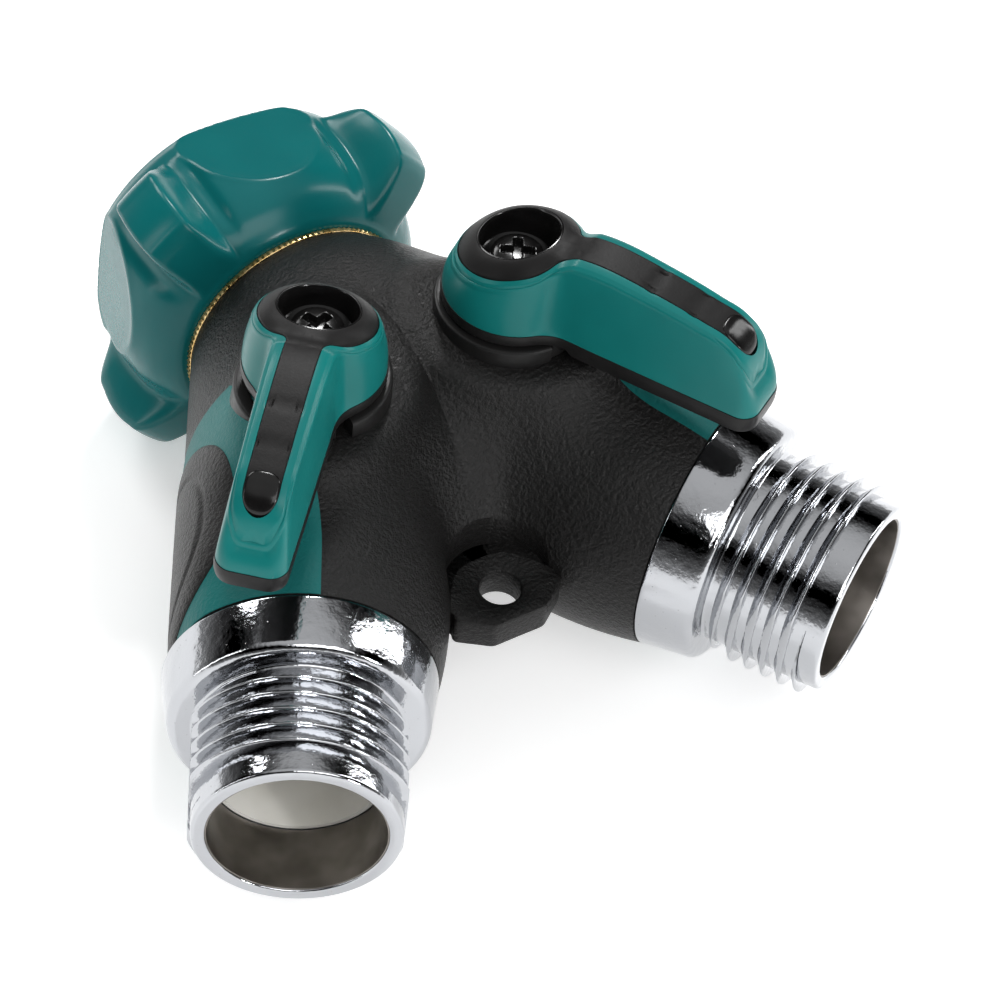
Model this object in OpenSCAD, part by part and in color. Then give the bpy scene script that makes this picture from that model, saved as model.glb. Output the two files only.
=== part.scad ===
// Two-way hose splitter: a cast Y body with a swivelling inlet nut, two threaded outlets
// and a quarter-turn ball valve with its own lever in each arm.
// The origin is the centre of the inner end of the inlet's thread.
// +Y points out of the inlet and +Z points up through the levers.

/* [Casting] */
// Angle from the inlet's line to each outlet arm
arm_angle = 30; // [28:1:32]
// From the crossing of the waterways to an outlet's rim
arm_length = 77.3; // [77:0.1:79]
// From the crossing of the waterways to the inner end of the inlet's thread
inlet_reach = 12; // [12:0.1:12.5]
// Radius of an arm's casting under its rubber
casting_r = 13; // [12.8:0.1:13.2]
// Radius of an outlet's bore
outlet_bore_r = 10.4; // [10.3:0.05:10.5]
// Radius of the waterway between the inlet and the balls
waterway_r = 5.6; // [5:0.1:6]
// Where an outlet's flange begins, along its arm
flange_start = 55.1; // [55:0.1:56]
// Length of an outlet's flange
flange_length = 7; // [6:0.1:7.2]
// Radius of the flange where the rubber meets it
flange_r = 16.2; // [16:0.1:16.4]

/* [Hose thread] */
// Radius over the crests of an outlet's thread
male_crest_r = 13.4; // [13.35:0.05:13.5]
// Radius at the roots of an outlet's thread
male_root_r = 12.1; // [12.0:0.05:12.2]
// Radius over the crests of the inlet's thread
female_crest_r = 12.25; // [12.2:0.05:12.35]
// Radius at the roots of the inlet's thread
female_root_r = 13.5; // [13.45:0.05:13.55]
// Distance between one crest and the next
pitch = 2.209; // [2.2:0.001:2.25]
// Number of crests on each thread
turns = 5; // [4:1:5]

/* [Rubber cover] */
// Radius of the cover at the bulge of an arm's grip
bulge_r = 17.6; // [17:0.1:18]
// Radius of the cover where it meets the inlet nut
collar_r = 15; // [14.8:0.1:15.4]
// Thickness of the coloured band and of the grip pad let into an arm
band_thickness = 1.3; // [1:0.1:1.5]
// Thickness of the hanging tab between the arms
tab_thickness = 4.1; // [3:0.1:5]
// Radius of the hole in the hanging tab
tab_hole_r = 2.5; // [2:0.1:2.6]

/* [Valve] */
// From the crossing of the waterways to a valve's upright axis
pivot_reach = 27; // [26.8:0.1:27.5]
// Radius of a valve's ball
ball_r = 8.4; // [8.3:0.05:8.45]
// Radius of the hole through a ball
ball_hole_r = 5.4; // [5:0.1:5.5]
// Radius of a stem
stem_r = 3.5; // [3.4:0.05:3.55]
// Turn of the left lever from fully open
left_turn = 12; // [0:1:90]
// Turn of the right lever from fully open
right_turn = 0; // [0:1:90]

/* [Lever] */
// Length of a lever from its axis to its tip
lever_length = 33.8; // [33:0.1:35]
// Width of a lever's arm at its foot
lever_w = 8.8; // [8.6:0.1:9.2]
// Radius of a lever's round head at its foot
head_r = 8.5; // [8.3:0.1:8.6]
// Width of the dark strip along a lever
strip_w = 4.4; // [4:0.1:4.8]

/* [Inlet nut] */
// Radius over the nut's four wings
wing_r = 25.3; // [24:0.1:26]
// Radius of the nut between its wings
nut_r = 20; // [19.6:0.1:20.4]
// Turn of the wings from the level
wing_turn = 42; // [0:1:90]
// Number of ridges on the nut's brass rim
knurls = 60; // [48:2:72]

/* [Hidden] */
$fn = 96;
gap = 0.05;
far = 60;
arm_root = 5;
neck_r = 12;
neck_end = -3.4;
neck_bore_r = 8;
shoulder_y = -9.75;
shoulder_r = 14.2;
groove_r = 10.9;
groove_y = -5.7;
groove_w = 1.2;
chamber_r = ball_r + 0.65;
seat_back = 7.4;
seat_face = 4.8;
seat_bore_r = 6.2;
sleeve_start = 36;
sleeve_end = arm_length - 8.7;
sleeve_r = outlet_bore_r - 0.2;
boss_r = 7.4;
boss_top = 19;
gland_r = 5.5;
gland_head_r = 6.8;
gland_bottom = 11;
gland_top = 20.4;
seal_places = [13, 16.5];
seal_groove = 1.1;
stop_r = 9.3;
mound_r = 10.6;
mound_top = 18.8;
stop_foot = 16;
stop_floor = 20.7;
stop_top = 23;
stop_from = -30;
stop_to = 120;
base_z = 23.2;
shell_z = 25;
under_arm_z = 22.3;
under_arm_from = 9.8;
hub_top = 29.3;
hub_r = 4.6;
bowl_r = 4.8;
ring_r = 6.1;
strip_end = 29.5;
inlay_depth = 2.4;
screw_r = 3.2;
screw_head = 1.7;
shank_r = 1.5;
insert_r = 14.6;
insert_back = -9.6;
cover_back = -8.9;
cover_front = 11.3;
wing_back = -4.7;
wing_front = 7;
tab_top = 1.6;
tab_hole_reach = 46.9;
flange_end = flange_start + flange_length;

// ---- Frames of reference ------------------------------------------------------------

// An arm's own frame: +X runs out along the arm and +Y away from the other arm
module on_arm(side) {
    mirror([side < 0 ? 1 : 0, 0, 0])
        translate([0, -inlet_reach, 0])
            rotate([0, 0, arm_angle - 90])
                children();
}

// A lever's own frame: its axis is Z and +X runs out along the lever
module on_pivot(side) {
    on_arm(side)
        translate([pivot_reach, 0, 0])
            rotate([0, 0, side < 0 ? left_turn : right_turn])
                children();
}

// Turn a profile of radius and distance into a solid round the arm's line
module round_arm() rotate([0, 90, 0]) rotate_extrude() children();

// Turn a profile of radius and distance into a solid round the inlet's line
module round_inlet() rotate([-90, 0, 0]) rotate_extrude() children();

// A plain ring standing on its axis
module ring(outer, inner, low, high)
    difference() {
        translate([0, 0, low]) cylinder(r = outer, h = high - low);
        translate([0, 0, low - 1]) cylinder(r = inner, h = high - low + 2);
    }

// The pie slice between two angles, from one height to another
module slice(from, to, low, high, reach = 14)
    translate([0, 0, low])
        linear_extrude(high - low)
            polygon(concat([[0, 0]], [for (i = [0:6])
                let(a = from + (to - from) * i / 6) reach * [cos(a), sin(a)]]));

// ---- Casting ------------------------------------------------------------------------

// Outline points of a thread: one flat crest a pitch, with sloping flanks
function thread_points(crest, root, start) = [for (i = [0:turns - 1], p = [
    [root, 0.15], [crest, 0.8], [crest, 1.35], [root, 2.0]]) [p[0], start + i * pitch + p[1]]];

module arm_casting()
    round_arm() polygon(concat(
        [[0, arm_root], [casting_r, arm_root], [casting_r, flange_start], [flange_r, flange_start],
            [flange_r - 0.8, flange_end - 1], [flange_r - 1.8, flange_end], [male_root_r, flange_end]],
        thread_points(male_crest_r, male_root_r, flange_end),
        [[male_root_r, arm_length - 0.4], [male_root_r - 0.4, arm_length], [0, arm_length]]));

// The shoulder behind the neck and the cone that joins it to both arms
module neck_root(grow)
    round_inlet() polygon([[0, -inlet_reach - 12], [9 + grow, -inlet_reach - 12],
        [shoulder_r + grow, -inlet_reach - 2.5 - grow], [shoulder_r + grow, shoulder_y],
        [0, shoulder_y]]);

module neck_casting()
    round_inlet() polygon([[0, shoulder_y - 1], [neck_r, shoulder_y - 1], [neck_r, groove_y],
        [groove_r, groove_y], [groove_r, groove_y + groove_w], [neck_r, groove_y + groove_w],
        [neck_r, neck_end], [0, neck_end]]);

module valve_body()
    color("silver") difference() {
        union() {
            neck_root(0);
            neck_casting();
            for (side = [-1, 1]) on_arm(side) {
                arm_casting();
                translate([pivot_reach, 0, 0]) cylinder(r = boss_r, h = boss_top);
            }
        }
        round_inlet() translate([0, -inlet_reach]) square([neck_bore_r, inlet_reach + 1]);
        translate([0, -inlet_reach, 0]) sphere(r = neck_bore_r + 0.4);
        for (side = [-1, 1]) on_arm(side) {
            round_arm() polygon([[0, 2], [waterway_r, 2], [waterway_r, pivot_reach - seat_back],
                [chamber_r, pivot_reach - seat_back], [chamber_r, sleeve_start],
                [sleeve_r, sleeve_start], [sleeve_r, sleeve_end], [outlet_bore_r, sleeve_end],
                [outlet_bore_r, arm_length + 1], [0, arm_length + 1]]);
            translate([pivot_reach, 0, 0]) cylinder(r = gland_r + gap, h = boss_top + 1);
        }
    }

// ---- Rubber cover, band and grip pads ---------------------------------------------

// Outline of an arm's cover, from the crossing to the flange, grown by some amount
function skin_points(grow) = [[14.5 + grow, 8], [16.6 + grow, 14], [17 + grow, 24],
    [bulge_r - 0.1 + grow, 36], [bulge_r + grow, 43], [17.1 + grow, 50],
    [flange_r + grow, flange_start - gap]];

module arm_skin(grow, depth, end)
    round_arm() polygon(concat([[bulge_r - 1 - depth, 20]], [for (p = skin_points(grow)) if (p[1] > 20) p],
        [[flange_r + grow, end], [flange_r - depth, end]]));

// The region on an arm's outer side that the coloured band fills
module band_region()
    translate([0, 0, -far]) linear_extrude(2 * far)
        polygon([[24, far], [24, 5], [36, 1.2], [42, -0.6], [48, -1.5], [flange_start + 1, -1.2],
            [flange_start + 1, far]]);

// The pointed oval of a grip pad, seen from the side of its arm
module pad_region(grow)
    rotate([90, 0, 0]) mirror([0, 0, 1]) translate([0, 0, 4]) linear_extrude(far)
        polygon([for (i = [0:40]) let(a = 9 * i, u = cos(a))
            [42.6 + (12.4 + grow) * u, (12.6 + grow) * sin(a) * (1 - 0.12 * u)]]);

// The low round mound in which the cover rises to a valve's stop collar
module mound(side, grow, height)
    on_arm(side) translate([pivot_reach, 0, 0]) cylinder(r = mound_r + grow, h = height);

// The recess let into the cover for a band, which stops short of the mound
module band_space(side) difference() {
    on_arm(side) intersection() {
        arm_skin(2, band_thickness, flange_start + 1);
        band_region();
    }
    mound(side, 0, far);
}

module band(side)
    color("teal") difference() {
        on_arm(side) intersection() {
            arm_skin(0, band_thickness - gap, flange_start - gap / 2);
            band_region();
        }
        on_arm(side) pad_region(gap);
        mound(side, gap, far);
    }

module grip_pad(side)
    color("dimgray") on_arm(side) intersection() {
        arm_skin(0.4, band_thickness - gap, flange_start - gap / 2);
        pad_region(0);
        band_region();
    }

// Everything inside the cover that the casting fills
module casting_space() {
    neck_root(gap);
    round_inlet() translate([0, shoulder_y - 1]) square([shoulder_r + gap, far]);
    for (side = [-1, 1]) on_arm(side) {
        round_arm() translate([0, arm_root - gap]) square([casting_r + gap, far]);
        translate([pivot_reach, 0, 0]) {
            cylinder(r = boss_r + gap, h = far);
            translate([0, 0, stop_foot - gap]) cylinder(r = stop_r + gap, h = far);
        }
    }
}

module tab()
    translate([0, -inlet_reach, tab_top - tab_thickness])
        linear_extrude(tab_thickness)
            polygon([[-7.7, -48.3], [-3.5, -51.8], [3.5, -51.8], [7.7, -48.3], [10.5, -44],
                [9, -34], [-9, -34], [-10.5, -44]]);

module body_cover()
    color("#1c1b1b") difference() {
        union() {
            round_inlet() polygon([[0, -inlet_reach - 16], [14, -inlet_reach - 16], [16.9, -inlet_reach - 10],
                [16.8, -inlet_reach - 3], [16.2, -inlet_reach], [collar_r, shoulder_y], [0, shoulder_y]]);
            round_inlet() translate([0, -inlet_reach]) polygon([[0, -42], [5, -42], [9.5, -38.5],
                [13.5, -32], [15.2, -24], [14.5, -12], [0, -12]]);
            for (side = [-1, 1]) {
                on_arm(side) round_arm()
                    polygon(concat([[0, 8]], skin_points(0), [[0, flange_start - gap]]));
                mound(side, 0, mound_top);
            }
            tab();
        }
        casting_space();
        for (side = [-1, 1]) band_space(side);
        translate([0, -inlet_reach - tab_hole_reach, -far]) cylinder(r = tab_hole_r, h = 2 * far);
    }

// ---- Valves -----------------------------------------------------------------------

// The low wall that stops a lever when open and when closed
module stop_collar(side)
    color("#222222") on_arm(side) translate([pivot_reach, 0, 0]) difference() {
        ring(stop_r, boss_r + gap, stop_foot, stop_top);
        slice(stop_from, stop_to, stop_floor, stop_top + 1);
    }

module stem_gland(side)
    color("goldenrod") on_arm(side) translate([pivot_reach, 0, 0]) difference() {
        union() {
            translate([0, 0, gland_bottom]) cylinder(r = gland_r, h = gland_top - gland_bottom);
            translate([0, 0, boss_top + gap])
                cylinder(r = gland_head_r, h = gland_top - boss_top - gap, $fn = 6);
        }
        cylinder(r = stem_r + gap, h = far);
    }

// A plastic ring with the ball's own curve cut into its face
module seat(side, to_rim)
    color("ivory") on_arm(side) translate([pivot_reach, 0, 0]) difference() {
        mirror([to_rim ? 0 : 1, 0, 0]) rotate([0, 90, 0])
            ring(chamber_r - gap, seat_bore_r, seat_face, seat_back - gap);
        sphere(r = ball_r + gap);
    }

// The white sleeve screwed in behind the outer seat
module seat_retainer(side)
    color("white") on_arm(side) round_arm()
        polygon([[seat_bore_r, pivot_reach + seat_back], [chamber_r - gap, pivot_reach + seat_back],
            [chamber_r - gap, sleeve_start + gap], [sleeve_r - gap, sleeve_start + gap],
            [sleeve_r - gap, sleeve_end - gap], [sleeve_r - 0.5, sleeve_end - gap],
            [9.2, sleeve_end - 4], [7.6, sleeve_end - 13]]);

module ball(side)
    color("lightgray") on_pivot(side) difference() {
        sphere(r = ball_r);
        translate([-far, 0, 0]) rotate([0, 90, 0]) cylinder(r = ball_hole_r, h = 2 * far);
        translate([-5, -1.5, ball_hole_r + 0.5]) cube([10, 3, 5]);
    }

module stem(side)
    color("khaki") on_pivot(side) difference() {
        union() {
            translate([-3.6, -1.45, ball_hole_r + 0.6]) cube([7.2, 2.9, 3.2]);
            translate([0, 0, ball_r + 0.25]) cylinder(r = 4.6, h = gland_bottom - ball_r - 0.35);
            translate([0, 0, gland_bottom - 0.5]) cylinder(r = stem_r, h = base_z - gland_bottom);
            intersection() {
                translate([0, 0, base_z - 1]) cylinder(r = 3, h = hub_top - base_z);
                translate([-far, -2.4, 0]) cube([2 * far, 4.8, far]);
            }
        }
        for (z = seal_places) ring(stem_r + 1, 2.6, z, z + seal_groove);
        translate([0, 0, stop_floor - 0.7]) cylinder(r = shank_r + gap, h = far);
    }

module stem_seals(side)
    color("black") on_pivot(side) for (z = seal_places)
        translate([0, 0, z + seal_groove / 2])
            rotate_extrude() translate([3.05, 0]) circle(r = 0.43, $fn = 32);

// ---- Levers -----------------------------------------------------------------------

// Side view of a lever above its base, lowered by some amount
module lever_side(drop)
    rotate([90, 0, 0]) translate([0, 0, -far / 2]) linear_extrude(far)
        polygon([[-head_r - 0.1, shell_z], [-8.3, 29 - drop], [-7.2, 31.6 - drop], [-4.5, 33 - drop],
            [2, 34.6 - drop], [7, 36 - drop], [11, 36.5 - drop], [18, 36.2 - drop], [25, 35.2 - drop],
            [29.5, 34 - drop], [31.2, 32 - drop], [32.3, 29 - drop], [lever_length, shell_z]]);

module lever_plan(w, l)
    translate([0, -w / 2]) square([l, w]);

// The space that the dark strip and its ring round the bowl fill
module inlay_space(shrink)
    difference() {
        intersection() {
            lever_side(0);
            translate([0, 0, shell_z]) linear_extrude(far) {
                circle(r = ring_r - shrink);
                lever_plan(strip_w - 2 * shrink, strip_end);
                translate([strip_end - 0.1, 0]) circle(r = strip_w / 2 - shrink);
            }
        }
        lever_side(inlay_depth - shrink);
    }

module lever_shell(side)
    color("teal") on_pivot(side) difference() {
        intersection() {
            lever_side(0);
            union() {
                translate([0, 0, shell_z]) cylinder(r1 = head_r, r2 = 5.6, h = 13);
                translate([0, 0, shell_z]) linear_extrude(far) lever_plan(lever_w, lever_length);
            }
        }
        inlay_space(0);
        cylinder(r = bowl_r, h = far);
    }

module lever_inlay(side)
    color("#222222") on_pivot(side) difference() {
        inlay_space(gap);
        cylinder(r = bowl_r, h = far);
    }

module lever_base(side)
    color("#151515") on_pivot(side) difference() {
        union() {
            translate([0, 0, base_z]) cylinder(r = head_r + 0.1, h = shell_z - base_z - gap);
            translate([0, 0, base_z]) linear_extrude(shell_z - base_z - gap)
                lever_plan(lever_w, lever_length);
            translate([under_arm_from, -lever_w / 2, under_arm_z])
                cube([lever_length - under_arm_from, lever_w, shell_z - under_arm_z - gap]);
            intersection() {
                slice(stop_from + 0.7, -stop_from - 0.7, stop_floor + 0.2, base_z + 0.5);
                ring(stop_r - 0.1, hub_r - 0.4, stop_floor + 0.2, base_z + 0.5);
            }
            translate([0, 0, base_z]) cylinder(r = hub_r, h = hub_top - base_z);
        }
        cylinder(r = 3 + gap, h = hub_top - 0.9);
        cylinder(r = 1.7, h = far);
    }

module lever_screw(side)
    color("#101010") on_pivot(side) difference() {
        union() {
            translate([0, 0, hub_top + gap]) cylinder(r = screw_r, h = screw_head);
            translate([0, 0, base_z - 1]) cylinder(r = shank_r, h = hub_top - base_z + 1.5);
        }
        for (turn = [0, 90]) translate([0, 0, hub_top + 0.8]) rotate([0, 0, turn])
            translate([-2, -0.45, 0]) cube([4, 0.9, 2]);
    }

// ---- Inlet ------------------------------------------------------------------------

module snap_ring()
    color("gray") difference() {
        round_inlet() translate([groove_r + 0.1, groove_y + gap]) square([2, groove_w - 2 * gap]);
        translate([-1.5, groove_y - 1, 0]) cube([3, groove_w + 2, far]);
    }

module inlet_washer()
    color("#303030") round_inlet()
        translate([neck_bore_r, neck_end + gap]) square([4.9, -neck_end - 0.35]);

module nut_insert()
    color("gold") difference() {
        round_inlet() polygon(concat(
            [[insert_r + 0.5, insert_back], [insert_r + 0.5, cover_back - gap],
                [insert_r, cover_back - gap], [insert_r, cover_front - 0.3],
                [13.9, cover_front - 0.3]],
            [for (i = [turns - 1:-1:0], p = [[female_root_r, 1.9], [female_crest_r, 1.25],
                [female_crest_r, 0.5], [female_root_r, -0.1]]) [p[0], i * pitch + p[1]]],
            [[female_root_r, groove_y - 0.1], [neck_r + gap, groove_y - 0.1],
                [neck_r + gap, insert_back]]));
        for (i = [0:knurls - 1]) rotate([0, i * 360 / knurls, 0])
            translate([insert_r + 0.55, insert_back - 0.4, 0]) rotate([0, 45, 0]) cube([0.35, 1.5, 0.35]);
    }

// One of the nut's four wings, drawn in the nut's own cross-section
module wing()
    polygon([[17, -9.5], [20.6, -6.6], [22.6, -5.4], [24.4, -4.8], [wing_r, -3.4], [wing_r, 3.4],
        [24.4, 4.8], [22.6, 5.4], [20.6, 6.6], [17, 9.5]]);

module nut_cover()
    color("teal") union() {
        round_inlet() polygon([[insert_r + gap, cover_back], [15.9, cover_back], [17.6, -7.6],
            [nut_r, -4], [nut_r, 5], [18.3, 9], [17.6, 10.6], [16.8, cover_front],
            [insert_r + gap, cover_front]]);
        intersection() {
            for (k = [0:3]) rotate([0, -wing_turn - 90 * k, 0]) translate([0, wing_back, 0])
                rotate([-90, 0, 0]) linear_extrude(wing_front - wing_back) wing();
            round_inlet() polygon([[16, wing_back], [24, wing_back], [wing_r, wing_back + 1.3],
                [wing_r, wing_front - 2.5], [24.4, wing_front - 0.8], [23, wing_front],
                [16, wing_front]]);
        }
    }

// ---- Nodes ------------------------------------------------------------------------

valve_body();
body_cover();
band(-1);  // band_left
band(1);  // band_right
grip_pad(-1);  // grip_pad_left
grip_pad(1);  // grip_pad_right
stop_collar(-1);  // stop_collar_left
stop_collar(1);  // stop_collar_right
stem_gland(-1);  // stem_gland_left
stem_gland(1);  // stem_gland_right
seat(-1, false);  // inner_seat_left
seat(1, false);  // inner_seat_right
seat(-1, true);  // outer_seat_left
seat(1, true);  // outer_seat_right
seat_retainer(-1);  // seat_retainer_left
seat_retainer(1);  // seat_retainer_right
snap_ring();
inlet_washer();
nut_insert();
nut_cover();
ball(-1);  // ball_left
ball(1);  // ball_right
stem(-1);  // stem_left
stem(1);  // stem_right
stem_seals(-1);  // stem_seals_left
stem_seals(1);  // stem_seals_right
lever_base(-1);  // lever_base_left
lever_base(1);  // lever_base_right
lever_shell(-1);  // lever_shell_left
lever_shell(1);  // lever_shell_right
lever_inlay(-1);  // lever_inlay_left
lever_inlay(1);  // lever_inlay_right
lever_screw(-1);  // lever_screw_left
lever_screw(1);  // lever_screw_right
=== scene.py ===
"""Looks for the two-way hose splitter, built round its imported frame."""
import math

import bmesh
import bpy
import numpy as np
from mathutils import Matrix, Vector


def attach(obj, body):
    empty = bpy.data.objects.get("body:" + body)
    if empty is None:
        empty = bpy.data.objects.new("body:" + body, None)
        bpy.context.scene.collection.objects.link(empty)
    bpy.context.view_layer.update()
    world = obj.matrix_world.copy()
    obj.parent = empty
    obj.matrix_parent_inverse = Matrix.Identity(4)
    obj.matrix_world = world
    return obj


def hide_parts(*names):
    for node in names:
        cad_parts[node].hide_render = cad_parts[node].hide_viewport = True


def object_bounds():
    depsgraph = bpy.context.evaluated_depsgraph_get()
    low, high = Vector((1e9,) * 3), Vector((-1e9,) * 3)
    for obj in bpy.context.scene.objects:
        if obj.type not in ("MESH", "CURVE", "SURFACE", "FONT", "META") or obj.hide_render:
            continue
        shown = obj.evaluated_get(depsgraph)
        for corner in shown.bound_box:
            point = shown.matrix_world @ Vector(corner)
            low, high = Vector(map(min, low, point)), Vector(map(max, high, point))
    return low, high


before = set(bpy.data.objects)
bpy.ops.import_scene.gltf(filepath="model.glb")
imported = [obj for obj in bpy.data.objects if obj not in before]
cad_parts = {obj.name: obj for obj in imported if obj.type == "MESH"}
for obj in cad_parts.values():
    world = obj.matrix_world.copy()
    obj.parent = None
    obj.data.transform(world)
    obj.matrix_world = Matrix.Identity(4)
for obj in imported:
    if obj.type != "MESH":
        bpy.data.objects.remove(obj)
cad_low, cad_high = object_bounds()
scene = bpy.context.scene
MM = 0.001


# ---- Studio ---------------------------------------------------------------------------
# A white sweep under the splitter, softboxes overhead, behind and in front, a strip on each
# side, a small low key lamp, and a long lens. The camera's place is given from the start of
# the inlet's thread.

camera = bpy.data.objects.new("camera", bpy.data.cameras.new("camera"))
scene.collection.objects.link(camera)
scene.camera = camera
camera.data.lens = 154.7
camera.data.clip_start, camera.data.clip_end = 0.01, 20
azimuth, elevation, roll = (math.radians(a) for a in (-36.77, 48.68, 7.71))
back = Vector((math.sin(azimuth) * math.cos(elevation), -math.cos(azimuth) * math.cos(elevation),
               math.sin(elevation)))
camera.matrix_world = (Matrix.Translation(Vector((-197.7, -321.2, 390.6)) * MM)
                       @ (-back).to_track_quat("-Z", "Y").to_matrix().to_4x4()
                       @ Matrix.Rotation(roll, 4, "Z"))

scene.view_settings.view_transform = "Standard"
centre = (cad_low + cad_high) / 2


def lamp(name, place, size, power):
    light = bpy.data.objects.new(name, bpy.data.lights.new(name, "AREA"))
    light.data.shape = "RECTANGLE"
    light.data.size, light.data.size_y = size
    light.data.energy = power
    light.location = place
    light.rotation_euler = (Vector(centre) - Vector(place)).to_track_quat("-Z", "Y").to_euler()
    scene.collection.objects.link(light)


lamp("overhead_softbox", (0.30, 0.40, 0.62), (0.10, 0.10), 3.0)
lamp("rear_softbox", (-0.10, 0.65, 0.50), (0.40, 0.20), 2.6)
lamp("left_strip", (-0.60, 0.10, 0.22), (0.08, 0.50), 0.6)
lamp("right_strip", (0.55, -0.10, 0.30), (0.08, 0.50), 1.2)
lamp("front_fill", (-0.10, -0.60, 0.65), (0.60, 0.40), 3.0)
lamp("front_key", (0.16, -0.75, 0.26), (0.08, 0.08), 1.8)

world = bpy.data.worlds.new("studio")
world.use_nodes = True
scene.world = world
sky = world.node_tree.nodes["Background"]
sky.inputs["Color"].default_value = (1, 1, 1, 1)
height = world.node_tree.nodes.new("ShaderNodeSeparateXYZ")
ramp = world.node_tree.nodes.new("ShaderNodeFloatCurve")
brightness = ramp.mapping.curves[0].points
brightness[0].location, brightness[-1].location = (0.0, 0.55), (1.0, 0.8)
for place, value in ((0.30, 0.08), (0.70, 0.03), (0.86, 0.55)):
    brightness.new(place, value)
ramp.mapping.update()
direction = world.node_tree.nodes.new("ShaderNodeTexCoord")
world.node_tree.links.new(direction.outputs["Generated"], height.inputs[0])
world.node_tree.links.new(height.outputs["Z"], ramp.inputs["Value"])
world.node_tree.links.new(ramp.outputs[0], sky.inputs["Strength"])

floor_z = cad_low.z - 0.0002
floor_mesh = bpy.data.meshes.new("floor")
floor_mesh.from_pydata([(x * 4, y * 4, floor_z) for x, y in ((-1, -1), (1, -1), (1, 1), (-1, 1))], [],
                       [(0, 1, 2, 3)])
floor = bpy.data.objects.new("floor", floor_mesh)
scene.collection.objects.link(floor)


# ---- Chromed outlets ------------------------------------------------------------------
# The casting is zinc, cast in a two-part mould and chromed. Each outlet has a plain flange,
# a hose thread that the mould's parting flattens at both sides, and a thin round nose.

class Wire:
    """One socket in a material, with arithmetic that adds the nodes it needs."""

    def __init__(self, tree, socket):
        self.tree, self.socket = tree, socket

    def make(self, kind, sockets, output=0, **settings):
        node = self.tree.nodes.new(kind)
        for key, value in settings.items():
            setattr(node, key, value)
        for key, value in sockets.items():
            if isinstance(value, Wire):
                self.tree.links.new(value.socket, node.inputs[key])
            else:
                node.inputs[key].default_value = value
        return Wire(self.tree, node.outputs[output])

    def maths(self, operation, *values):
        return self.make("ShaderNodeMath", dict(enumerate(values)), operation=operation)

    def __add__(self, other):
        return self.maths("ADD", self, other)

    def __sub__(self, other):
        return self.maths("SUBTRACT", self, other)

    def __rsub__(self, other):
        return self.maths("SUBTRACT", other, self)

    def __mul__(self, other):
        return self.maths("MULTIPLY", self, other)

    __radd__ = __add__
    __rmul__ = __mul__

    def step(self, low, high):
        return self.make("ShaderNodeMapRange", {"Value": self, "From Min": low, "From Max": high},
                         interpolation_type="SMOOTHSTEP")

    def blend(self, first, second):
        return self.make("ShaderNodeMix", {0: self, 6: first, 7: second}, output=2, data_type="RGBA")

    def noise(self, size, detail=2.0, rough=0.5):
        return self.make("ShaderNodeTexNoise", {"Vector": self, "Scale": 1 / size, "Detail": detail,
                                                "Roughness": rough})

    def cells(self, size, feature="F1"):
        return self.make("ShaderNodeTexVoronoi", {"Vector": self, "Scale": 1 / size}, feature=feature)

    def bump(self, depth, strength=1.0, under=None):
        sockets = {"Height": self, "Distance": depth, "Strength": strength}
        if under:
            sockets["Normal"] = under
        return self.make("ShaderNodeBump", sockets)


def finish(name, **constants):
    """A new material, its shader, and the object's own coordinates as a wire."""
    material = bpy.data.materials.new(name)
    material.use_nodes = True
    tree = material.node_tree
    shader = tree.nodes["Principled BSDF"]
    for key, value in constants.items():
        shader.inputs[key.replace("_", " ")].default_value = value
    place = tree.nodes.new("ShaderNodeTexCoord")
    return material, shader, Wire(tree, place.outputs["Object"])


def feed(shader, **wires):
    for key, wire in wires.items():
        wire.tree.links.new(wire.socket, shader.inputs[key.replace("_", " ")])


def colour(red, green, blue):
    return (red, green, blue, 1)


floor_paint, floor_shader, spot = finish("white_sweep", Roughness=0.9, Specular_IOR_Level=0.1,
                                         Emission_Color=colour(1, 1, 1), Emission_Strength=0.42)
feed(floor_shader,
     Base_Color=spot.noise(0.4).step(0.3, 0.7).blend(colour(0.9, 0.9, 0.9), colour(0.93, 0.93, 0.93)))
floor_mesh.materials.append(floor_paint)

chrome, shader, spot = finish("chrome_plate", Metallic=1.0)
ripple = spot.noise(1.9 * MM, 2.0)
pits = spot.cells(1.1 * MM).step(0.10, 0.0)
grain = spot.noise(0.30 * MM, 2.0)
feed(shader, Base_Color=pits.blend(colour(0.44, 0.45, 0.47), colour(0.24, 0.24, 0.25)),
     Roughness=0.06 + 0.08 * grain + 0.25 * pits,
     Normal=ripple.bump(0.10 * MM, 0.8, under=(grain + pits).bump(0.02 * MM, 0.7)))

nickel, shader, spot = finish("bored_nickel", Metallic=1.0)
streaks = spot.noise(1.4 * MM, 3.0)
feed(shader, Base_Color=spot.noise(5 * MM).step(0.3, 0.7).blend(colour(0.17, 0.155, 0.14),
                                                                colour(0.27, 0.25, 0.23)),
     Roughness=0.28 + 0.15 * streaks, Normal=streaks.bump(0.02 * MM, 0.5))

ARM_TURN = math.radians(30)
CROSSING = Vector((0, -12, 0))
SIDES = {"left": -1, "right": 1}


def arm_place(side):
    """From an arm's own millimetres, (along, outward, up), to the splitter's metres."""
    along = Vector((side * math.sin(ARM_TURN), -math.cos(ARM_TURN), 0))
    outward = Vector((side * math.cos(ARM_TURN), math.sin(ARM_TURN), 0))
    turn = Matrix((along, outward, (0, 0, 1))).transposed().to_4x4()
    return Matrix.Scale(MM, 4) @ Matrix.Translation(CROSSING) @ turn


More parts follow.
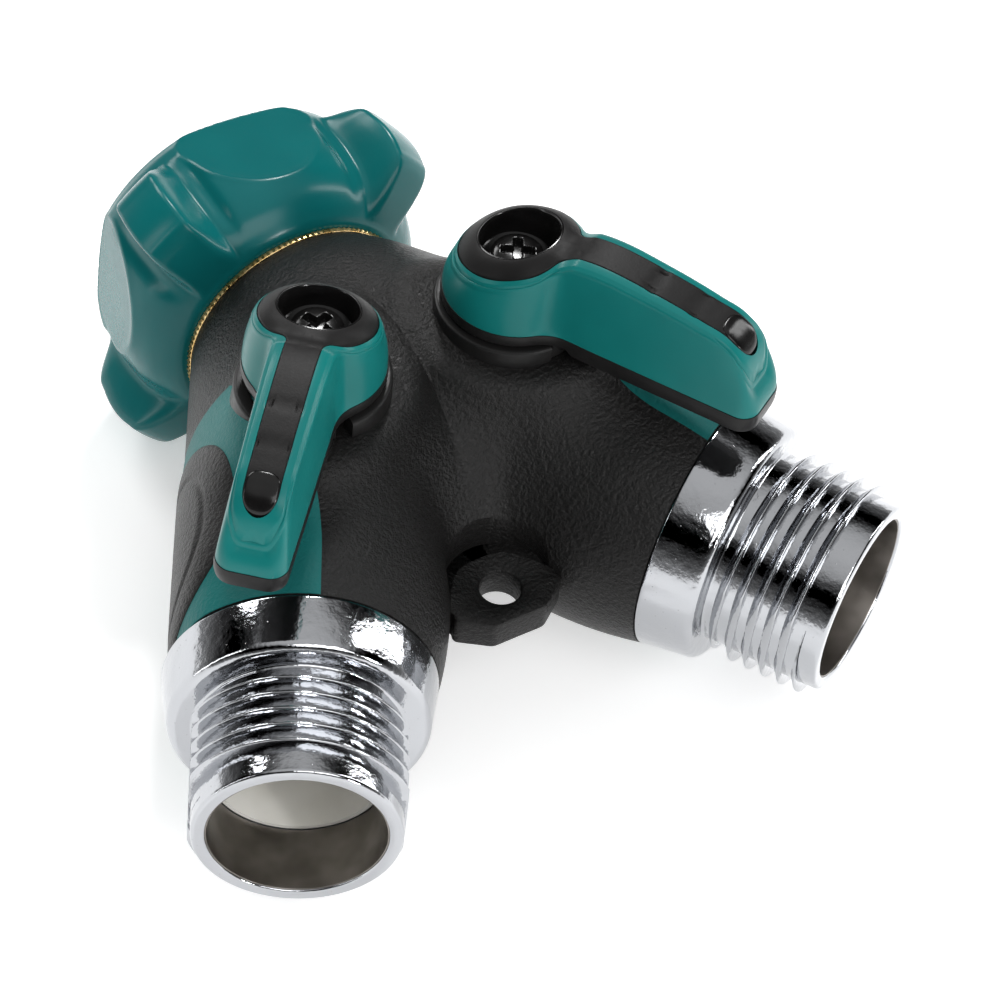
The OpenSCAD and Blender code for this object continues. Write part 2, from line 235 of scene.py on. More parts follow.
def piece(name, points, faces, material, body, place=Matrix.Scale(MM, 4), sharp=35, stands_for=(), slot=None,
          merge=1e-3):
    """A finished piece from millimetre points: merged, facing outward, in place and riding."""
    mesh = bpy.data.meshes.new(name)
    mesh.from_pydata([tuple(p) for p in points], [], [tuple(f) for f in faces])
    shell = bmesh.new()
    shell.from_mesh(mesh)
    bmesh.ops.remove_doubles(shell, verts=shell.verts, dist=merge)
    bmesh.ops.dissolve_degenerate(shell, edges=shell.edges, dist=merge / 4)
    bmesh.ops.transform(shell, matrix=place, verts=shell.verts)
    bmesh.ops.recalc_face_normals(shell, faces=shell.faces)
    shell.to_mesh(mesh)
    shell.free()
    return settle(bpy.data.objects.new(name, mesh), material, body, sharp, stands_for)


def settle(thing, material, body, sharp=35, stands_for=()):
    """Links a piece, shades it smooth but for its sharp edges, and lets it ride."""
    if thing.name not in scene.collection.objects:
        scene.collection.objects.link(thing)
    thing.data.materials.clear()
    thing.data.materials.append(material)
    thing.data.polygons.foreach_set("use_smooth", [True] * len(thing.data.polygons))
    thing.data.set_sharp_from_angle(angle=math.radians(sharp))
    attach(thing, body)
    if stands_for:
        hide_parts(*stands_for)
    return thing


def softened(corners, steps=4):
    """A closed outline with its corners rounded: each corner is (x, y) or (x, y, radius)."""
    outline, count = [], len(corners)
    for i, corner in enumerate(corners):
        here = Vector(corner[:2])
        radius = corner[2] if len(corner) > 2 else 0
        if not radius:
            outline.append(here)
            continue
        before, after = Vector(corners[i - 1][:2]) - here, Vector(corners[(i + 1) % count][:2]) - here
        start, end = (here + leg.normalized() * min(radius, leg.length * 0.45) for leg in (before, after))
        for k in range(steps + 1):
            t = k / steps
            outline.append(start * (1 - t) ** 2 + here * 2 * t * (1 - t) + end * t ** 2)
    return outline


def grid_faces(rows, columns, wrap_rows=False, wrap_columns=True):
    """The quads of a grid of points kept row by row."""
    return [(i * columns + j, i * columns + (j + 1) % columns, (i + 1) % rows * columns + (j + 1) % columns,
             (i + 1) % rows * columns + j)
            for i in range(rows if wrap_rows else rows - 1)
            for j in range(columns if wrap_columns else columns - 1)]


def turned(outline, segments=128, wrap=True):
    """A solid of revolution about the first axis from a closed outline of (radius, distance)."""
    angles = np.linspace(0, 2 * math.pi, segments, endpoint=False)
    points = [(s, r * math.sin(a), r * math.cos(a)) for r, s in outline for a in angles]
    return points, grid_faces(len(outline), segments, wrap_rows=wrap)


class Tree:
    """A geometry node tree with named inputs, whose result becomes a plain mesh."""

    def __init__(self, name, **sizes):
        self.group = bpy.data.node_groups.new(name, "GeometryNodeTree")
        self.sizes = {}
        for key, value in sizes.items():
            kind = "NodeSocketInt" if isinstance(value, int) else "NodeSocketFloat"
            self.sizes[key] = self.group.interface.new_socket(key, in_out="INPUT",
                                                              socket_type=kind).identifier
        self.group.interface.new_socket("Geometry", in_out="OUTPUT", socket_type="NodeSocketGeometry")
        self.entry = self.group.nodes.new("NodeGroupInput")
        self.exit = self.group.nodes.new("NodeGroupOutput")
        self.defaults = sizes

    def size(self, key):
        return self.entry.outputs[key]

    def add(self, kind, sockets=None, output=0, **settings):
        node = self.group.nodes.new(kind)
        for key, value in settings.items():
            setattr(node, key, value)
        for key, value in (sockets or {}).items():
            if isinstance(value, bpy.types.NodeSocket):
                self.group.links.new(value, node.inputs[key])
            else:
                node.inputs[key].default_value = value
        return node.outputs[output]

    def maths(self, operation, *values):
        return self.add("ShaderNodeMath", dict(enumerate(values)), operation=operation)

    def close(self, geometry, material):
        real = self.add("GeometryNodeRealizeInstances", {0: geometry})
        painted = self.add("GeometryNodeSetMaterial", {0: real, "Material": material})
        self.group.links.new(painted, self.exit.inputs[0])

    def build(self, name, place, **sizes):
        """The tree's mesh for these sizes, moved to its place."""
        thing = bpy.data.objects.new(name, bpy.data.meshes.new(name))
        scene.collection.objects.link(thing)
        modifier = thing.modifiers.new("shape", "NODES")
        modifier.node_group = self.group
        for key, value in {**self.defaults, **sizes}.items():
            modifier[self.sizes[key]] = value
        bpy.context.view_layer.update()
        graph = bpy.context.evaluated_depsgraph_get()
        mesh = bpy.data.meshes.new_from_object(thing.evaluated_get(graph))
        thing.modifiers.clear()
        thing.data = mesh
        shell = bmesh.new()
        shell.from_mesh(mesh)
        bmesh.ops.remove_doubles(shell, verts=shell.verts, dist=1e-4)
        bmesh.ops.transform(shell, matrix=place, verts=shell.verts)
        bmesh.ops.recalc_face_normals(shell, faces=shell.faces)
        shell.to_mesh(mesh)
        shell.free()
        return thing


PITCH = 2.209
RIM = 77.3
FLANGE_BACK, FLANGE_FRONT = 55.1, 62.1

# A helical ridge of trapezoid section that fades in and out at its ends and is cut flat at both sides
thread = Tree("hose_thread", Radius=12.74, Height=1.36, Turns=5.3, Foot=2.1, Crest=0.5, Pitch=PITCH,
              Flat=12.35,
              Detail=96)
helix = thread.add("GeometryNodeCurveSpiral", {
    "Resolution": thread.size("Detail"), "Rotations": thread.size("Turns"),
    "Start Radius": thread.size("Radius"),
    "End Radius": thread.size("Radius"),
    "Height": thread.maths("MULTIPLY", thread.size("Turns"), thread.size("Pitch"))})
helix = thread.add("GeometryNodeSetCurveNormal", {"Curve": helix}, mode="Z_UP")
share = thread.add("GeometryNodeSplineParameter")
rise = thread.add("ShaderNodeMapRange", {"Value": share, "From Min": 0.0, "From Max": 0.07, "To Min": 0.05},
                  interpolation_type="SMOOTHSTEP")
fall = thread.add("ShaderNodeMapRange", {"Value": share, "From Min": 1.0, "From Max": 0.96, "To Min": 0.05},
                  interpolation_type="SMOOTHSTEP")
swell = thread.maths("MULTIPLY", rise, fall)
section = thread.add("GeometryNodeCurvePrimitiveQuadrilateral", {
    "Bottom Width": thread.size("Foot"), "Top Width": thread.size("Crest"), "Height": thread.size("Height")},
    mode="TRAPEZOID")
section = thread.add("GeometryNodeFilletCurve",
                     {"Curve": section, "Radius": 0.16, "Count": 3, "Limit Radius": True},
                     mode="POLY")
ridge = thread.add("GeometryNodeCurveToMesh", {"Curve": helix, "Profile Curve": section, "Fill Caps": True,
                                               "Scale": swell})
spot = thread.add("GeometryNodeInputPosition")
parts = thread.add("ShaderNodeSeparateXYZ", {0: spot}).node
held = thread.add("ShaderNodeClamp", {"Value": parts.outputs["Y"], "Max": thread.size("Flat"),
                                      "Min": thread.maths("MULTIPLY", thread.size("Flat"), -1.0)})
joined = thread.add("ShaderNodeCombineXYZ", {"X": parts.outputs["X"], "Y": held, "Z": parts.outputs["Z"]})
ridge = thread.add("GeometryNodeSetPosition", {"Geometry": ridge, "Position": joined})
thread.close(ridge, chrome)

# From the tree's own axes, (up, outward, along), to an arm's
STAND = Matrix(((0, 0, 1, 0), (0, 1, 0, 0), (-1, 0, 0, 0), (0, 0, 0, 1)))

outlet_outline = softened([
    (10.4, 34), (10.4, RIM, 0.35), (12.1, RIM, 0.5), (12.1, FLANGE_FRONT, 0.5), (15.2, FLANGE_FRONT, 1.1),
    (16.2, FLANGE_BACK + 0.05, 0.35), (13.0, FLANGE_BACK - 0.1), (13.0, 34)])
for side, sign in SIDES.items():
    points, faces = turned(outlet_outline, 160)
    piece(f"outlet_{side}", points, faces, chrome, "valve", arm_place(sign), stands_for=["valve_body"],
          slot="chromed_casting")
    right_handed = Matrix.Diagonal((1, sign, 1, 1))
    ridge = thread.build(f"outlet_thread_{side}",
                         arm_place(sign) @ right_handed @ Matrix.Translation((FLANGE_FRONT + 1.1, 0, 0))
                         @ STAND)
    settle(ridge, chrome, "valve", 50)
    lining = softened([(10.27, 68.7), (10.27, RIM - 0.25, 0.1), (10.5, RIM - 0.3), (10.5, 68.7)])
    points, faces = turned(lining, 128)
    piece(f"outlet_bore_{side}", points, faces, nickel, "valve", arm_place(sign), slot="chromed_casting")


# ---- Rubber cover ---------------------------------------------------------------------
# Soft black rubber moulded over the casting. It swells to a grip on each arm, rises round each
# valve, webs the arms together and ends square against the flanges. It has a fine grain.

PIVOT = 27.0
NECK_END = 2.25
BULGE_AT, BULGE_R = 43.0, 17.6
BOSS_TOP, BOSS_R = 18.8, 10.6


def arm_radius(along):
    """The cover's radius along an arm: full at the grip, slimmer at the flange and the crossing."""
    outer = np.clip((along - BULGE_AT) / (FLANGE_BACK - BULGE_AT), 0, 1.6)
    inner = np.clip((BULGE_AT - along) / BULGE_AT, 0, 1)
    return BULGE_R - 1.4 * outer ** 2 - 1.9 * inner ** 2


def curve_through(x, knots):
    """A smooth height through a few (x, height) knots."""
    xs, ys = np.array(knots).T
    slopes = np.gradient(ys, xs)
    i = np.clip(np.searchsorted(xs, x) - 1, 0, len(xs) - 2)
    width = xs[i + 1] - xs[i]
    t = np.clip((x - xs[i]) / width, 0, 1)
    return ((1 + 2 * t) * (1 - t) ** 2 * ys[i] + t * (1 - t) ** 2 * width * slopes[i]
            + t * t * (3 - 2 * t) * ys[i + 1] + t * t * (t - 1) * width * slopes[i + 1])


def melt(first, second, width):
    """The smaller of two distances, rounded where they meet."""
    share = np.clip(0.5 + 0.5 * (second - first) / width, 0, 1)
    return second * (1 - share) + first * share - width * share * (1 - share)


def skin(points):
    """How far points, in the splitter's millimetres, stand outside the cover's surface."""
    here = points - np.array(CROSSING)
    x, y, z = here[..., 0], here[..., 1], here[..., 2]
    arms, bosses = [], []
    for sign in SIDES.values():
        along = here @ np.array([sign * math.sin(ARM_TURN), -math.cos(ARM_TURN), 0])
        off = np.sqrt(np.maximum((here ** 2).sum(-1) - np.maximum(along, 0) ** 2, 1e-6))
        arms.append(off - arm_radius(along))
        pivot = np.hypot(x - sign * PIVOT * math.sin(ARM_TURN), y + PIVOT * math.cos(ARM_TURN))
        bosses.append(-melt(BOSS_R - pivot, BOSS_TOP - z, 2.0))
    neck = np.hypot(x, z) - (15.0 + 0.10 * np.clip(NECK_END - y, 0, 14))
    neck = np.maximum(neck, -y - 16)
    belly = np.hypot(x, z) - curve_through(-y, [(0, 14), (16, 15.8), (24, 16.4), (31, 14.6), (36, 10.5),
                                                (40, 4), (46, -6)])
    body = melt(melt(arms[0], arms[1], 12.0), melt(neck, belly, 4.0), 6.0)
    body = melt(body, np.maximum(np.minimum(*bosses), -z), 11.0)
    collar = np.hypot(x, z) - (15.0 + 0.6 * (NECK_END - y))
    return -melt(-body, -collar, 3.0)


def drawn_to_skin(points, rounds=4):
    """Points moved onto the cover's surface along its slope."""
    for _ in range(rounds):
        value = skin(points)
        slope = np.stack([(skin(points + 0.01 * axis) - value) / 0.01 for axis in np.eye(3)], -1)
        points = points - (value / np.maximum((slope ** 2).sum(-1), 0.25))[:, None] * slope
    return points


def plain_mesh(thing):
    """The thing's mesh with its modifiers applied, and the modifiers gone."""
    bpy.context.view_layer.update()
    mesh = bpy.data.meshes.new_from_object(thing.evaluated_get(bpy.context.evaluated_depsgraph_get()))
    thing.modifiers.clear()
    thing.data = mesh
    return mesh


def solid(name, parts):
    """A loose object from several closed (points, faces, place) parts."""
    shell = bmesh.new()
    for points, faces, place in parts:
        corners = [shell.verts.new(place @ Vector(p)) for p in points]
        for face in faces:
            shell.faces.new([corners[i] for i in face])
    bmesh.ops.remove_doubles(shell, verts=shell.verts, dist=1e-7)
    bmesh.ops.recalc_face_normals(shell, faces=shell.faces)
    thing = bpy.data.objects.new(name, bpy.data.meshes.new(name))
    shell.to_mesh(thing.data)
    shell.free()
    scene.collection.objects.link(thing)
    return thing


def carve(thing, cutter):
    """Cuts one closed object out of another."""
    cut = thing.modifiers.new("cut", "BOOLEAN")
    cut.operation, cut.solver, cut.object = "DIFFERENCE", "MANIFOLD", cutter
    plain_mesh(thing)
    bpy.data.objects.remove(cutter)


def rod(radius, low, high, segments=128):
    """A closed rod about the first axis."""
    return turned([(0.0, low), (radius, low), (radius, high), (0.0, high)], segments, wrap=False)


TO_INLET = Matrix(((0, 0, 1, 0), (1, 0, 0, 0), (0, 1, 0, 0), (0, 0, 0, 1)))
METRES = Matrix.Scale(MM, 4)
to_neck = METRES @ Matrix.Translation(CROSSING) @ TO_INLET

rubber, shader, spot = finish("black_rubber", Specular_IOR_Level=0.22)
etch = spot.noise(0.55 * MM, 3.0, 0.6)
cloud = spot.noise(14 * MM, 2.0)
feed(shader, Base_Color=cloud.step(0.35, 0.65).blend(colour(0.0062, 0.0059, 0.0058),
                                                     colour(0.0090, 0.0086, 0.0084)),
     Roughness=0.30 + 0.16 * etch + 0.06 * cloud, Normal=etch.step(0.30, 0.72).bump(0.09 * MM, 1.0))

rough_parts = []
for sign in SIDES.values():
    rough_parts.append((*rod(17.0, -6, 62, 64), arm_place(sign)))
rough_parts.append((*rod(15.6, -26, 12, 64), to_neck))
cover = solid("body_cover_skin", rough_parts)
remesh = cover.modifiers.new("even", "REMESH")
remesh.mode, remesh.voxel_size = "VOXEL", 0.5 * MM
mesh = plain_mesh(cover)
points = np.empty(len(mesh.vertices) * 3)
mesh.vertices.foreach_get("co", points)
points = drawn_to_skin(points.reshape(-1, 3) / MM)
pairs = np.empty(len(mesh.edges) * 2, int)
mesh.edges.foreach_get("vertices", pairs)
pairs = pairs.reshape(-1, 2)
for _ in range(3):
    total, count = np.zeros_like(points), np.zeros(len(points))
    for a, b in ((0, 1), (1, 0)):
        np.add.at(total, pairs[:, a], points[pairs[:, b]])
        np.add.at(count, pairs[:, a], 1)
    points = drawn_to_skin(0.5 * points + 0.5 * total / count[:, None], 2)
mesh.vertices.foreach_set("co", (points * MM).ravel())
for sign in SIDES.values():
    carve(cover, solid("cutter", [(*rod(30, FLANGE_BACK, 80), arm_place(sign))]))
    carve(cover, solid("cutter", [(*rod(13.02, 1, 60), arm_place(sign))]))
carve(cover, solid("cutter", [(*rod(30, NECK_END, 40), to_neck)]))
carve(cover, solid("cutter", [(*rod(14.22, -9, 20), to_neck)]))

TAB_HOLE, TAB_HOLE_R, SPOT_FACE_R = Vector((0, -46.9, 0)), 2.5, 6.8
TAB_TOP, TAB_THICK = 1.6, 4.1
TAB_PLACE = METRES @ Matrix.Translation(CROSSING)
over_hole = TAB_PLACE @ Matrix.Translation(TAB_HOLE) @ Matrix.Rotation(-math.pi / 2, 4, "Y")
carve(cover, solid("cutter", [(*rod(SPOT_FACE_R, TAB_TOP, 30, 96), over_hole)]))
settle(cover, rubber, "valve", 30, ["body_cover"])


# ---- Hanging tab ----------------------------------------------------------------------
# A flat tab of the same rubber between the arms, with a hole to hang the splitter by. Its
# end is cut to three straight edges, and its sides run straight into the arms.

def lofted(rings, closed=False):
    """A skin over rings of equal length, closed end to end or capped at both ends."""
    rings = [[Vector(p) for p in ring] for ring in rings]
    count = len(rings[0])
    points = [p for ring in rings for p in ring]
    faces = grid_faces(len(rings), count, wrap_rows=closed)
    if not closed:
        for row, ring in ((0, rings[0]), (len(rings) - 1, rings[-1])):
            points.append(sum(ring, Vector()) / count)
            faces += [(row * count + j, row * count + (j + 1) % count, len(points) - 1) for j in range(count)]
    return points, faces


def resampled(outline, count):
    """A closed outline at equal steps of its length."""
    corners = np.array([tuple(p) for p in outline] + [tuple(outline[0])])
    reach = np.concatenate([[0], np.cumsum(np.hypot(*np.diff(corners, axis=0).T))])
    steps = np.linspace(0, reach[-1], count, endpoint=False)
    return np.stack([np.interp(steps, reach, corners[:, k]) for k in (0, 1)], -1)


half_tab = [(0, -51.8), (3.5, -51.8, 0.5), (7.5, -48.9, 0.8), (6.9, -47.6, 1.6), (11.5, -42.5), (10, -36),
            (0, -36)]
tab_outline = softened(half_tab + [(-p[0], *p[1:]) for p in half_tab[-2:0:-1]], 6)
outer = resampled(tab_outline, 360)
angles = np.unwrap(np.arctan2(outer[:, 1] - TAB_HOLE.y, outer[:, 0]))
TAB_EDGE = 0.35


def tab_ring(reach, height):
    """A ring of the tab: reach 0 is its outer edge, above that it nears the hole."""
    hole = np.stack([TAB_HOLE_R * np.cos(angles), TAB_HOLE.y + TAB_HOLE_R * np.sin(angles)], -1)
    away = outer - hole
    length = np.hypot(*away.T)[:, None]
    flat = outer - away / length * reach if reach >= 0 else hole + away / length * -reach
    return [(x, y, height) for x, y in flat]


tab_low = TAB_TOP - TAB_THICK
rings = [tab_ring(0, tab_low + TAB_EDGE), tab_ring(0, TAB_TOP - TAB_EDGE),
         tab_ring(TAB_EDGE * 0.3, TAB_TOP - TAB_EDGE * 0.3),
         tab_ring(TAB_EDGE, TAB_TOP), tab_ring(-TAB_EDGE * 0.6, TAB_TOP), tab_ring(-0.08, TAB_TOP - 0.1),
         tab_ring(-1e-6, TAB_TOP - TAB_EDGE), tab_ring(-1e-6, tab_low + TAB_EDGE),
         tab_ring(-TAB_EDGE * 0.6, tab_low),
         tab_ring(TAB_EDGE, tab_low), tab_ring(TAB_EDGE * 0.3, tab_low + TAB_EDGE * 0.3)]
points, faces = lofted(rings, closed=True)
piece("hanging_tab", points, faces, rubber, "valve", TAB_PLACE, 40, slot="black_rubber")


# ---- Coloured bands and grip pads -------------------------------------------------------
# A teal rubber band is moulded flush into the outer side of each arm, and a raised black
# oval pad into the band. The band has the cover's grain; the pad has a line round its edge.

def on_skin(sign, along, turn, lift):
    """Points in an arm's own frame at a place along it and a turn outward from its top."""
    place = np.array(arm_place(sign)) / MM
    low, high = np.full(along.shape, 8.0), np.full(along.shape, 24.0)
    for _ in range(26):
        middle = (low + high) / 2
        own = np.stack([along, middle * np.sin(turn), middle * np.cos(turn), np.ones_like(along)], -1)
        outside = skin((own @ place.T)[..., :3]) > 0
        low, high = np.where(outside, low, middle), np.where(outside, middle, high)
    reach = low + lift
    return np.stack([along, reach * np.sin(turn), reach * np.cos(turn)], -1)


def slab(top, bottom):
    """A closed plate between two equal grids of points."""
    rows, columns = top.shape[:2]
    count = rows * columns
    points = list(top.reshape(-1, 3)) + list(bottom.reshape(-1, 3))
    faces = grid_faces(rows, columns, wrap_columns=False)
    faces += [tuple(count + i for i in reversed(f)) for f in faces]
    edge = ([j for j in range(columns)] + [(i + 1) * columns - 1 for i in range(1, rows)]
            + [count - 1 - j for j in range(1, columns)]
            + [(rows - 1 - i) * columns for i in range(1, rows - 1)])
    faces += [(a, b, b + count, a + count) for a, b in zip(edge, edge[1:] + edge[:1])]
    return points, faces


teal_band, shader, spot = finish("teal_band", Specular_IOR_Level=0.2)
etch = spot.noise(0.5 * MM, 3.0, 0.6)
feed(shader, Base_Color=spot.noise(9 * MM).step(0.3, 0.7).blend(colour(0.0040, 0.108, 0.104),
                                                                colour(0.0055, 0.128, 0.122)),
     Roughness=0.42 + 0.14 * etch, Normal=etch.step(0.3, 0.72).bump(0.05 * MM, 0.7))

BAND_START, BAND_END = 23.6, FLANGE_BACK - 0.06
for side, sign in SIDES.items():
    along, across = np.meshgrid(np.linspace(0, 1, 90), np.linspace(0, 1, 150), indexing="ij")
    spots = BAND_START + (BAND_END - BAND_START) * along
    inner = -1.5 + 0.016 * np.minimum(spots - 49, 0) ** 2
    start = np.arcsin(inner / arm_radius(spots))
    turn = start + (math.pi - 2 * start) * across
    edge = np.minimum.reduce([along * 31, across * 50, (1 - across) * 50])
    lift = 0.14 * (1 - np.exp(-edge / 0.35))
    piece(f"band_skin_{side}", *slab(on_skin(sign, spots, turn, lift), on_skin(sign, spots, turn, -1.0)),
          teal_band,
          "valve", arm_place(sign), stands_for=[f"band_{side}"], slot="teal_band")

    around = np.linspace(0, 2 * math.pi, 160, endpoint=False)
    shares = np.concatenate([np.linspace(0.02, 0.9, 42), np.linspace(0.91, 1, 12)])
    share, angle = np.meshgrid(shares, around, indexing="ij")
    power = 2 / 2.35
    spots = 40.4 + 13.6 * share * np.sign(np.cos(angle)) * np.abs(np.cos(angle)) ** power
    turn = math.pi / 2 + math.radians(63) * share * np.sign(np.sin(angle)) * np.abs(np.sin(angle)) ** power
    line = np.exp(-((share - 0.74) / 0.022) ** 2)
    lift = 0.05 + 0.6 * np.sqrt(np.clip(1 - share ** 14, 0, 1)) - 0.28 * line
    top = on_skin(sign, spots, turn, lift)
    base = on_skin(sign, spots[-1:], turn[-1:], -0.8)
    points, faces = lofted([list(ring) for ring in top] + [list(base[0])])
    piece(f"grip_pad_skin_{side}", points, faces, rubber, "valve", arm_place(sign),
          stands_for=[f"grip_pad_{side}"],
          slot="black_rubber")


# ---- Stop collars -----------------------------------------------------------------------
# A low wall of hard black plastic round each stem. It is cut away where the lever's lug
# swings, so its two ends stop the lever when open and when closed.

hard_black, shader, spot = finish("hard_black_plastic", Specular_IOR_Level=0.2)
mottle = spot.noise(0.3 * MM, 3.0, 0.55)
feed(shader, Base_Color=spot.noise(6 * MM).step(0.3, 0.7).blend(colour(0.0085, 0.0083, 0.0083),
                                                                colour(0.0125, 0.012, 0.012)),
     Roughness=0.26 + 0.2 * mottle, Normal=mottle.bump(0.015 * MM, 0.5))

GAP_FROM, GAP_TO = -30.0, 120.0
for side, sign in SIDES.items():
    wall = np.linspace(GAP_TO, GAP_FROM + 360, 120)
    low = np.linspace(GAP_FROM + 360, GAP_TO + 360, 90)
    rings = []
    for turn, height in [(low[-1], 20.7)] + [(a, 23.0) for a in wall] + [(a, 20.7) for a in low[:-1]]:
        outline = softened([(7.5, 15), (7.5, height, 0.3), (9.3, height, 0.45), (9.35, 18, 0),
                            (9.9, 15, 0)], 4)
        turn = math.radians(turn)
        rings.append([(r * math.cos(turn), r * math.sin(turn), z) for r, z in outline])
    points, faces = lofted(rings, closed=True)
    piece(f"stop_wall_{side}", points, faces, hard_black, "valve",
          arm_place(sign) @ Matrix.Translation((PIVOT, 0, 0)),
          25, [f"stop_collar_{side}"], "black_plastic", merge=1e-4)


# ---- Levers -------------------------------------------------------------------------------
# Each lever is a satin teal shell on a black base, with a matt black strip let into its top.
# The strip widens to a collar round the glossy bowl that holds the screw, and ends in a
# glossy thumb pad on the nose.

LEVER_TURN = {"left": math.radians(12), "right": 0.0}
SHELL_Z, BOWL_FLOOR = 25.0, 29.35


def lever_place(side):
    return (arm_place(SIDES[side]) @ Matrix.Translation((PIVOT, 0, 0))
            @ Matrix.Rotation(LEVER_TURN[side], 4, "Z"))


def smooth(value, low, high):
    share = np.clip((value - low) / (high - low), 0, 1)
    return share * share * (3 - 2 * share)


def lever_top(q, w):
    """Height of a lever's top: a ridge along it that domes down all round the bowl."""
    ridge = curve_through(q, [(-9, 30.8), (-5, 32.3), (0, 33.7), (5, 35.3), (10.5, 36.5), (18, 36.2),
                              (25, 35.2),
                              (28.5, 34.4), (30.5, 32.9), (31.7, 31.0), (32.4, 28.6)])
    beyond = np.maximum(np.hypot(q, w) - 4.7, 0)
    head = 1 - smooth(q, 3.5, 9.0)
    crown = 0.22 * np.maximum(np.abs(w) - 2.0, 0) ** 1.5
    dents = (0.16 * np.exp(-((q - 18) / 0.5) ** 2) + 0.16
             * np.exp(-((q - 23.5) / 0.5) ** 2)) * (np.abs(w) < 2.15)
    return ridge - head * 0.42 * beyond ** 1.6 - (1 - head) * crown - dents


def keyhole(head, bend, waist, half, tip, corner, half_tip=None):
    """A lever's plan: a round head, a hollow waist and a straight arm with a rounded tip."""
    half_tip = half_tip or half
    arc = np.radians(np.linspace(180, bend, 44))
    side = [(head * math.cos(a), head * math.sin(a)) for a in arc]
    leave, join = Vector(side[-1]), Vector((waist, half))
    turn = math.radians(bend)
    pull = (join - leave).length * 0.42
    first = leave + Vector((math.sin(turn), -math.cos(turn))) * pull
    second = join - Vector((pull, 0))
    for t in np.linspace(0, 1, 19)[1:]:
        p = leave * (1 - t) ** 3 + first * 3 * t * (1 - t) ** 2 + second * 3 * t * t * (1 - t) + join * t ** 3
        side.append(tuple(p))
    for t in np.linspace(0, 1, 41)[1:]:
        side.append((waist + (tip - corner - waist) * t, half + (half_tip - half) * t))
    for a in np.linspace(90, 0, 9)[1:]:
        side.append((tip - corner * (1 - math.cos(math.radians(a))),
                     half_tip - corner * (1 - math.sin(math.radians(a)))))
    for t in np.linspace(0, 1, 6)[1:]:
        side.append((tip, (half_tip - corner) * (1 - t)))
    return np.array(side + [(q, -w) for q, w in side[-2:0:-1]])


def raised(plan, drop=0.0):
    return [(q, w, z) for (q, w), z in zip(plan, lever_top(plan[:, 0], plan[:, 1]) - drop)]


foot = keyhole(8.5, 46, 12.5, 4.45, 33.8, 2.2, 4.2)
brow = keyhole(7.75, 40, 9.4, 3.75, 32.4, 1.9, 3.3)
strip = keyhole(7.1, 27, 9.0, 2.15, 31.3, 2.0, 2.05)
angle = np.degrees(np.arctan2(np.abs(foot[:, 1]), foot[:, 0]))
scoop = np.exp(-((angle - 38) / 14) ** 2)
back = smooth(angle, 60, 110)
nose = smooth(foot[:, 0], 31.5, 33.6)
LEAN = 1.35 + 0.75 * back + 0.9 * nose - 0.85 * scoop


def shell_rings():
    rings = []
    top = lever_top(brow[:, 0], brow[:, 1])
    inward = strip - brow
    inward /= np.hypot(*inward.T)[:, None]
    soft = 0.8
    for height in np.linspace(0, 1, 26):
        plan = foot + (brow - foot) * (height ** LEAN)[:, None]
        rings.append([(q, w, z) for (q, w), z in zip(plan, SHELL_Z + height * (top - soft - SHELL_Z))])
    for step in np.linspace(0, 90, 7)[1:]:
        plan = brow + inward * soft * 0.5 * (1 - math.cos(math.radians(step)))
        lift = top - soft * (1 - math.sin(math.radians(step)))
        rings.append([(q, w, z) for (q, w), z in zip(plan, lift)])
    last = brow + inward * soft * 0.5
    for step in np.linspace(0, 1, 8)[1:]:
        rings.append(raised(last + (strip - last) * step))
    rings.append(raised(strip, 0.12))
    rings.append(raised(strip * 0.995, 0.9))
    rings.append([(q, w, SHELL_Z + 1) for q, w in strip * 0.99])
    return rings


teal, shader, spot = finish("teal_plastic", Specular_IOR_Level=0.22)
mottle = spot.noise(0.6 * MM, 2.0)
wave = spot.noise(5 * MM, 1.0)
feed(shader, Base_Color=spot.noise(12 * MM).step(0.3, 0.7).blend(colour(0.0035, 0.142, 0.135),
                                                                 colour(0.0050, 0.162, 0.153)),
     Roughness=0.27 + 0.10 * mottle, Normal=wave.bump(0.08 * MM, 0.25, under=mottle.bump(0.008 * MM, 0.5)))

matt_black, shader, spot = finish("matt_black_strip", Specular_IOR_Level=0.16)
etch = spot.noise(0.28 * MM, 3.0, 0.6)
feed(shader, Base_Color=spot.noise(5 * MM).step(0.3, 0.7).blend(colour(0.0070, 0.0066, 0.0066),
                                                                colour(0.0095, 0.0090, 0.0090)),
     Roughness=0.40 + 0.14 * etch, Normal=etch.bump(0.03 * MM, 0.6))

gloss_black, shader, spot = finish("gloss_black_plastic", Specular_IOR_Level=0.3)
wave = spot.noise(1.6 * MM, 2.0)
feed(shader, Base_Color=spot.noise(4 * MM).step(0.3, 0.7).blend(colour(0.0050, 0.0048, 0.0048),
                                                                colour(0.0080, 0.0076, 0.0076)),
     Roughness=0.12 + 0.12 * wave, Normal=wave.bump(0.05 * MM, 0.35))

ROUND = np.radians(np.linspace(0, 360, 96, endpoint=False))


def rim_ring(radius, drop=0.0, height=None):
    """A ring round the bowl, that far below the lever's top or at a plain height."""
    q, w = radius * np.cos(ROUND), radius * np.sin(ROUND)
    z = np.full(96, height) if height is not None else lever_top(q, w) - drop
    return list(zip(q, w, z))


def nearest_on_circle(plan, radius):
    return plan / np.hypot(*plan.T)[:, None] * radius


def sector(inner, outer, start, end, low, high, steps=24):
    """A closed block between two radii and two turns."""
    rings = []
    for turn in np.radians(np.linspace(start, end, steps)):
        outline = softened([(inner, low), (outer, low, 0.25), (outer, high, 0.1), (inner, high)], 3)
        rings.append([(r * math.cos(turn), r * math.sin(turn), z) for r, z in outline])
    return lofted(rings)


